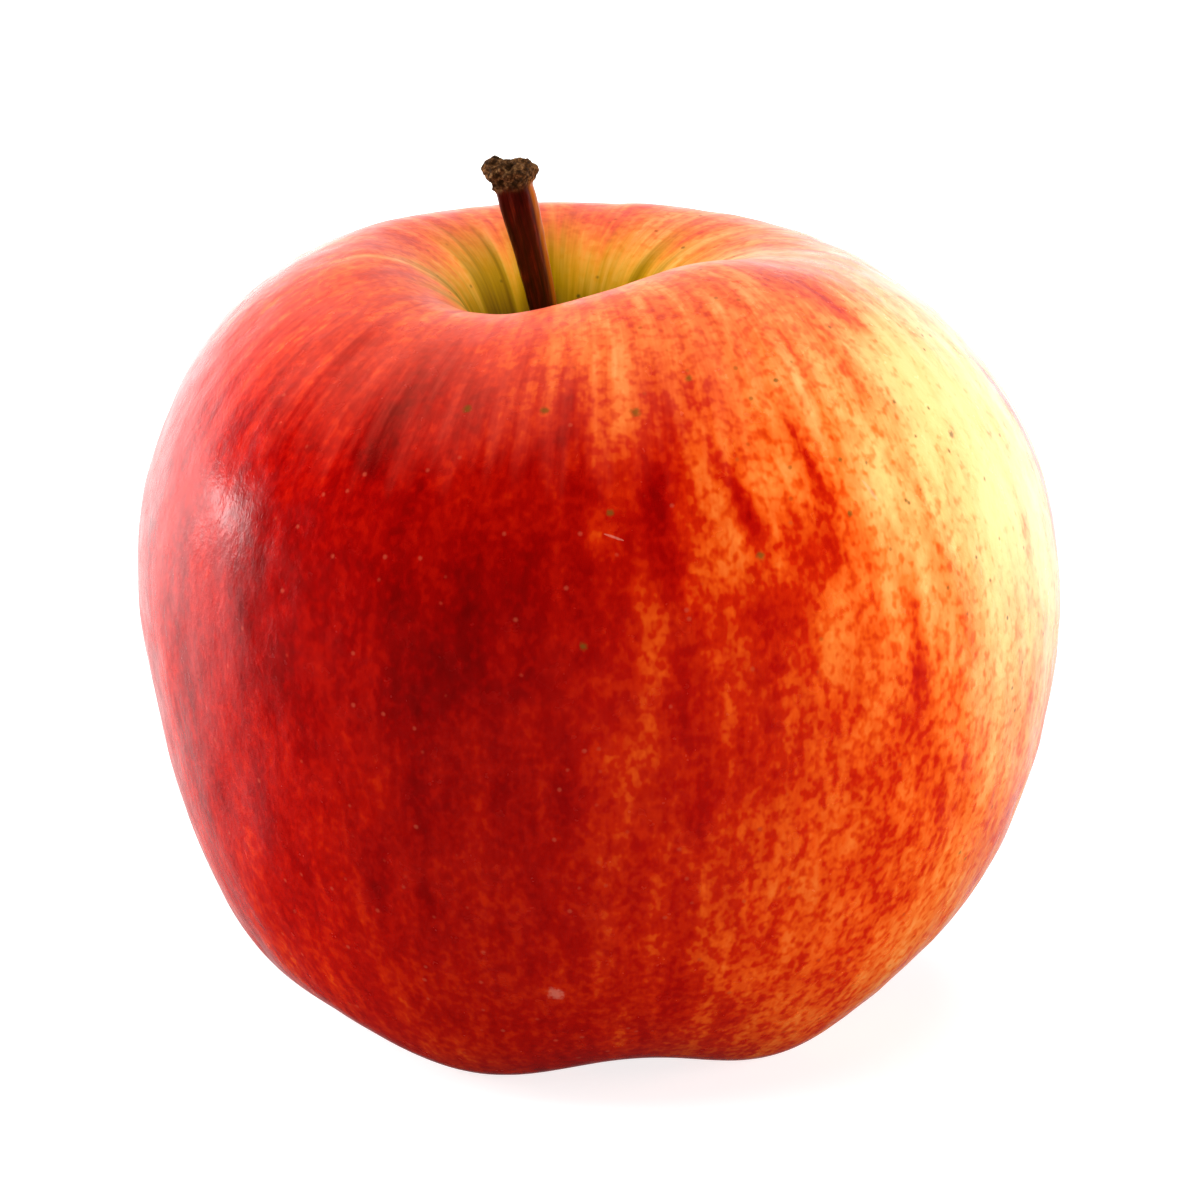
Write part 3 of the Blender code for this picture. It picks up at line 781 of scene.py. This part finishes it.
PLUG_OUTLINE = (  # (radius, height)
    (0.0, 10.2),
    (1.0, 10.2),
    (1.6, 9.9),
    (1.6, 8.0),
    (1.5, 7.2),
    (1.0, 6.9),
    (0.0, 6.9),
)
PLUG_GRID, SEPAL_GRID, STAMEN_GRID = (24, 40), (48, 36), (24, 12)  # rows, columns
SEPALS, SEPAL_ANGLE = 5, 12.0
SEPAL_TURN, SEPAL_TWIST = 5.0, 0.5  # at most, in degrees and in radians
SEPAL_RIB = ((0.6, 0.0, 8.0), (1.6, 0.0, 6.5), (2.8, 0.0, 5.1), (4.0, 0.0, 4.4), (4.9, 0.0, 4.6))
SEPAL_WIDTHS = (2.0, 2.9, 2.5, 1.5, 0.3)  # evenly spaced from root to tip
SEPAL_THICKNESS, SEPAL_CUP = 0.45, 0.12  # its edges droop by the cup times their width squared
SEPAL_THINS = 0.6  # a sepal grows thinner where its half width is below this
CRUMPLE, CRUMPLE_LENGTH, CRUMPLE_WAVES, CRUMPLE_STRETCH = 0.10, 1.4, 10, (1, 1, 0.6)
SEPAL_SEED, CALYX_SEED = 40, 7
STAMENS, STAMEN_ROOT, STAMEN_RADIUS, STAMEN_LENGTHS = 11, (0.75, 0.0, 7.7), 0.16, (1.9, 2.8)
STAMEN_THINS = 0.45  # the share of its radius that a stamen loses
STAMEN_BOW, BOW_STEP = 0.5, 3.0  # sideways, and the angle in radians that it changes by
STAMEN_LEAN, STAMEN_SWAY = (0.1, 0.4), 0.1  # outwards and sideways, for a drop of 1
ANTHER_RADIUS, ANTHER = 0.16, (0.93, 0.06)  # place along the stamen and spread
ASIDE = (0.3, 0.9, 0.1)  # a direction that no stamen takes
SEPAL_ENDS, STAMEN_ENDS = 8, 16  # the higher this even power, the blunter the ends


def turned(points, degrees):
    """The points turned about the fruit's axis."""
    cos, sin = np.cos(np.radians(degrees)), np.sin(np.radians(degrees))
    return points @ np.array([[cos, sin, 0.0], [-sin, cos, 0.0], [0.0, 0.0, 1.0]])


def closing(place, power):
    """1 along a piece, 0 at its ends: the root of 1 less a power of the way from its middle."""
    return np.sqrt(np.clip(1 - (2 * place - 1) ** power, 0, 1))


def plug_surface(rows, columns):
    """The plug's outline turned about the core."""
    outline = round_outline(PLUG_OUTLINE, rows)
    angle = round_angles(columns)
    radius, height = outline[:, :1], outline[:, 1:]
    return np.stack([radius * np.sin(angle), -radius * np.cos(angle), height + 0 * angle], axis=2)


def sepal_surface(rows, columns, twist, seed):
    """One sepal: a thin oval section carried along a rib that curls outwards, cupped and twisted.

    The section's width comes from a table, its ends close on the rib, and waves crumple it.
    """
    rib = curve_through(SEPAL_RIB, rows)
    place = np.linspace(0, 1, rows + 1)
    wide = np.interp(place, np.linspace(0, 1, len(SEPAL_WIDTHS)), SEPAL_WIDTHS) / 2
    wide = (wide * closing(place, SEPAL_ENDS))[:, None]
    way = directions(rib)
    up = np.stack([-way[:, 2], 0 * place, way[:, 0]], axis=1)[:, None]
    angle = round_angles(columns)
    lean = twist * place[:, None]
    flat = wide * np.cos(angle)
    thin = SEPAL_THICKNESS / 2 * np.minimum(wide / SEPAL_THINS, 1.0)
    thick = thin * np.sin(angle) - SEPAL_CUP * flat**2
    sideways = (flat * np.cos(lean))[..., None] * np.array([0.0, 1.0, 0.0])
    points = rib[:, None] + sideways + (thick + flat * np.sin(lean))[..., None] * up
    waves = gentle_waves(points * CRUMPLE_STRETCH, CRUMPLE_LENGTH, CRUMPLE_WAVES, seed)
    return points + (CRUMPLE * waves * np.minimum(wide / SEPAL_THINS, 1.0))[..., None] * up


def stamen_surface(rows, columns, way, length, bend):
    """One stamen: a thread that bows sideways and thins, with a small bead for its anther."""
    place = np.linspace(0, 1, rows + 1)[:, None]
    side = np.cross(way, ASIDE)
    side = side / np.linalg.norm(side)
    other = np.cross(way, side)
    line = np.array(STAMEN_ROOT) + length * place * way + bend * place**2 * side
    radius = STAMEN_RADIUS * (1 - STAMEN_THINS * place) + ANTHER_RADIUS * hump(place, *ANTHER)
    radius = radius * closing(place, STAMEN_ENDS)
    angle = round_angles(columns)
    out = np.cos(angle)[..., None] * side + np.sin(angle)[..., None] * other
    return line[:, None] + radius[..., None] * out


def joined_piece(name, grids):
    """One object from several closed grids of rings, each wound to face outwards."""
    points, faces, count = [], [], 0
    for grid in grids:
        rows, columns = grid.shape[:2]
        quads, first_fan, last_fan = ring_faces(rows - 2, columns)
        flat = flat_rings(grid)
        step = 1 if face_out(flat[quads] - flat.mean(axis=0)) else -1
        for block in (quads, first_fan, last_fan):
            faces += (block[:, ::step] + count).tolist()
        points.append(flat)
        count += len(flat)
    mesh = bpy.data.meshes.new(name)
    mesh.from_pydata((np.concatenate(points) * MM).tolist(), [], faces)
    mesh.shade_smooth()
    return placed(name, mesh)


draw = np.random.default_rng(CALYX_SEED)
calyx_grids = [plug_surface(*PLUG_GRID)]
for i in range(SEPALS):
    sepal_turn = SEPAL_ANGLE + 360 / SEPALS * i + draw.uniform(-SEPAL_TURN, SEPAL_TURN)
    sepal_twist = draw.uniform(-SEPAL_TWIST, SEPAL_TWIST)
    sepal = sepal_surface(*SEPAL_GRID, sepal_twist, SEPAL_SEED + i)
    calyx_grids.append(turned(sepal, sepal_turn))
for i in range(STAMENS):
    stamen_lean = draw.uniform(*STAMEN_LEAN)
    stamen_way = np.array([stamen_lean, draw.uniform(-STAMEN_SWAY, STAMEN_SWAY), -1.0])
    stamen_length = draw.uniform(*STAMEN_LENGTHS)
    stamen_way = stamen_way / np.linalg.norm(stamen_way)
    stamen_bow = STAMEN_BOW * np.sin(BOW_STEP * i)
    stamen = stamen_surface(*STAMEN_GRID, stamen_way, stamen_length, stamen_bow)
    calyx_grids.append(turned(stamen, 360 / STAMENS * i))
calyx = joined_piece("apple_calyx", [grid - fruit_middle for grid in calyx_grids])


# Dried sepals: dead leaf tissue, matt and brown, in darker patches under a greyish down.
SEPAL_SHADES = ((0.25, "#2A190F"), (0.45, "#54371F"), (0.62, "#7F6342"), (0.80, "#A89374"))
SEPAL_PATCH = 1.2 * MM
DOWN, DOWN_DEPTH, DOWN_RELIEF = (0.22 * MM, (1, 1, 0.4), 3.0, 0.6, (6, 2, 1)), 0.7, 0.08 * MM
SEPAL_ROUGHNESS, SEPAL_SPECULAR = 0.85, 0.3


def paint_calyx():
    material, tree, shader = new_material("dried sepals")
    place = node(tree, "ShaderNodeTexCoord", take="Object")
    down = growth(tree, place, *DOWN)
    level = tinged(tree, growth(tree, place, SEPAL_PATCH), down, DOWN_DEPTH)
    links = {"Height": down, "Strength": 1.0, "Distance": DOWN_RELIEF}
    finish = {
        "Base Color": node(tree, "ShaderNodeValToRGB", [level], stops=SEPAL_SHADES),
        "Roughness": SEPAL_ROUGHNESS,
        "Specular IOR Level": SEPAL_SPECULAR,
        "Normal": node(tree, "ShaderNodeBump", links),
    }
    fill(tree, shader, finish)
    return material


calyx.data.materials.append(paint_calyx())
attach(calyx, "root")
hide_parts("calyx")

# ------------------------------------------------------------------------------------------------
# The studio: white paper under the fruit and white behind it, with large, soft walls of light and
# a ceiling, which don't show in the gloss. One smaller soft lamp at the left does show there.
# ------------------------------------------------------------------------------------------------

LAMP_AIM = (0, 0, 0.035)
LAMPS = (  # azimuth and elevation, distance and size in metres, power, whether the gloss shows it
    ("left_light", -109, 7, 0.7, 0.13, 0.50, True),
    ("left_back_wall", -118, 10, 0.7, 0.55, 13.0, False),
    ("left_wall", -92, 2, 0.9, 0.7, 7.0, False),
    ("right_wall", 84, 2, 0.9, 0.7, 11.5, False),
    ("front_wall", 4, -4, 1.4, 1.0, 12.0, False),
    ("ceiling", 0, 84, 1.0, 0.8, 12.8, False),
    ("paper_light", 0, -45, 0.8, 0.6, 1.3, False),  # thrown up by the paper in front
)


def aim(holder, azimuth, elevation, distance, at):
    """Puts it at a distance from a point, towards azimuth and elevation, and looking back."""
    turn, lift = np.radians(azimuth), np.radians(elevation)
    back = Vector((np.sin(turn) * np.cos(lift), -np.cos(turn) * np.cos(lift), np.sin(lift)))
    holder.location = Vector(at) + back * distance
    holder.rotation_mode = "QUATERNION"
    holder.rotation_quaternion = back.to_track_quat("Z", "Y")


def soft_light(name, azimuth, elevation, distance, size, power, shines):
    """A square lamp that looks at the fruit's middle, and shows in its gloss only if it shines."""
    lamp = bpy.data.lights.new(name, "AREA")
    lamp.shape = "SQUARE"
    lamp.size = size
    lamp.energy = power
    lamp.cycles.use_multiple_importance_sampling = shines
    holder = placed(name, lamp)
    aim(holder, azimuth, elevation, distance, LAMP_AIM)
    holder.visible_camera = False
    holder.visible_glossy = shines


# White paper, matt. To the eye it is white to its edge, with a faint shade round the fruit, so it
# glows a little as seen. It lends the fruit grey light in front and white light from behind.
PAPER_HALF = 4.0
PAPER_FRONT, PAPER_BACK, PAPER_SEEN, PAPER_GLOW = "#6A6866", "#F4F3F1", "#B4B3B2", "#FFFFFF"
PAPER_SIDEWAYS, PAPER_TURNS = 0.5, (0.02, 0.14)  # how much sideways counts as behind; from, to
GLOW_FADE = (0.05, 0.35, 0.80, 1.0)  # distances from the fruit's middle and the glow at each
PAPER_ROUGHNESS, PAPER_SPECULAR = 0.9, 0.1


def pale_floor():
    """One square of paper, which neither shows in the gloss nor keeps light from below off."""
    mesh = bpy.data.meshes.new("floor")
    half = PAPER_HALF
    corners = [(-half, -half, 0), (half, -half, 0), (half, half, 0), (-half, half, 0)]
    mesh.from_pydata(corners, [], [(0, 1, 2, 3)])
    floor = placed("floor", mesh)
    floor.visible_glossy = False
    floor.visible_shadow = False
    material, tree, shader = new_material("white paper floor")
    seen = node(tree, "ShaderNodeLightPath", take="Is Camera Ray")
    place = node(tree, "ShaderNodeTexCoord", take="Object")
    behind = node(tree, "ShaderNodeSeparateXYZ", [place], 1)
    side = node(tree, "ShaderNodeSeparateXYZ", [place], 0)
    side = node(tree, "ShaderNodeMath", [side], operation="ABSOLUTE")
    away = node(tree, "ShaderNodeMath", [side, PAPER_SIDEWAYS, behind], operation="MULTIPLY_ADD")
    away = node(tree, "ShaderNodeMapRange", [away, *PAPER_TURNS], **SOFT)
    links = {0: away, 6: linear(PAPER_FRONT), 7: linear(PAPER_BACK)}
    lent = node(tree, "ShaderNodeMix", links, 2, data_type="RGBA")
    links = {0: seen, 6: lent, 7: linear(PAPER_SEEN)}
    colour = node(tree, "ShaderNodeMix", links, 2, data_type="RGBA")
    far = node(tree, "ShaderNodeVectorMath", [place], "Value", operation="LENGTH")
    far = node(tree, "ShaderNodeMapRange", [far, *GLOW_FADE], **SOFT)
    finish = {
        "Base Color": colour,
        "Emission Strength": node(tree, "ShaderNodeMath", [seen, far], operation="MULTIPLY"),
        "Emission Color": linear(PAPER_GLOW),
        "Roughness": PAPER_ROUGHNESS,
        "Specular IOR Level": PAPER_SPECULAR,
    }
    fill(tree, shader, finish)
    mesh.materials.append(material)


# The air's glow in each direction. A direction has parts from -1 to 1 to the right, behind and up.
# Each edge gives the parts where it begins and ends, and the strength at the two.
AIR_LEAN = (-0.3, 0.7, -0.42, 0.18)  # to the right: how much of the height counts as behind
AIR_GLOW = (0.03, 0.48, 0.0, 2.2)  # behind
AIR_FOOT, AIR_LEAST = (-0.6, 0.0), 0.03  # up from below, and the least that is left
AIR_TOP = (0.03, 0.44, 1.0, 0.29)  # up to overhead
AIR_HELD_BACK = -0.5  # matt surfaces get this much less


def studio_air():
    """The world: white as seen, and for the fruit a glow behind that is weaker overhead."""
    world = bpy.data.worlds.new("studio")
    world.use_nodes = True
    tree = world.node_tree
    tree.nodes.clear()
    way = node(tree, "ShaderNodeTexCoord", take="Generated")
    sideways = node(tree, "ShaderNodeSeparateXYZ", [way], 0)
    backwards = node(tree, "ShaderNodeSeparateXYZ", [way], 1)
    upwards = node(tree, "ShaderNodeSeparateXYZ", [way], 2)
    high = node(tree, "ShaderNodeMath", [upwards, 0.0], operation="MAXIMUM")
    lean = node(tree, "ShaderNodeMapRange", [sideways, *AIR_LEAN], **SOFT)
    place = node(tree, "ShaderNodeMath", [high, lean, backwards], operation="MULTIPLY_ADD")
    glow = node(tree, "ShaderNodeMapRange", [place, *AIR_GLOW], **SOFT)
    above = node(tree, "ShaderNodeMapRange", [upwards, *AIR_FOOT], **SOFT)
    glow = node(tree, "ShaderNodeMath", [glow, above, AIR_LEAST], operation="MULTIPLY_ADD")
    overhead = node(tree, "ShaderNodeMapRange", [upwards, *AIR_TOP], **SOFT)
    glow = node(tree, "ShaderNodeMath", [glow, overhead], operation="MULTIPLY")
    matt = node(tree, "ShaderNodeLightPath", take="Is Diffuse Ray")
    share = node(tree, "ShaderNodeMath", [matt, AIR_HELD_BACK, 1.0], operation="MULTIPLY_ADD")
    glow = node(tree, "ShaderNodeMath", [glow, share], operation="MULTIPLY")
    seen = node(tree, "ShaderNodeLightPath", take="Is Camera Ray")
    lit = node(tree, "ShaderNodeMath", [seen, glow], operation="MAXIMUM")
    sky = node(tree, "ShaderNodeBackground", {"Color": (1, 1, 1, 1), "Strength": lit})
    node(tree, "ShaderNodeOutputWorld", {"Surface": sky})
    world.cycles.sampling_method = "NONE"
    bpy.context.scene.world = world


pale_floor()
studio_air()
for lamp in LAMPS:
    soft_light(*lamp)

# The camera stands in front and looks down a little through a long lens.
CAMERA_LIFT, CAMERA_DISTANCE, CAMERA_AIM = 15.0, 0.5, (0, 0, 0.036)
FILM_WIDTH, LENS_LENGTH = 36.0, 173.1
CAMERA_SHIFT = (1 / 1200, 3 / 1200)  # shares of the picture's width
NEAREST_SEEN, FARTHEST_SEEN = 0.01, 50.0
camera = placed("camera", bpy.data.cameras.new("camera"))
aim(camera, 0.0, CAMERA_LIFT, CAMERA_DISTANCE, CAMERA_AIM)
camera.data.sensor_width = FILM_WIDTH
camera.data.lens = LENS_LENGTH
camera.data.shift_x, camera.data.shift_y = CAMERA_SHIFT
camera.data.clip_start, camera.data.clip_end = NEAREST_SEEN, FARTHEST_SEEN
bpy.context.scene.camera = camera
bpy.context.scene.view_settings.view_transform = "Standard"
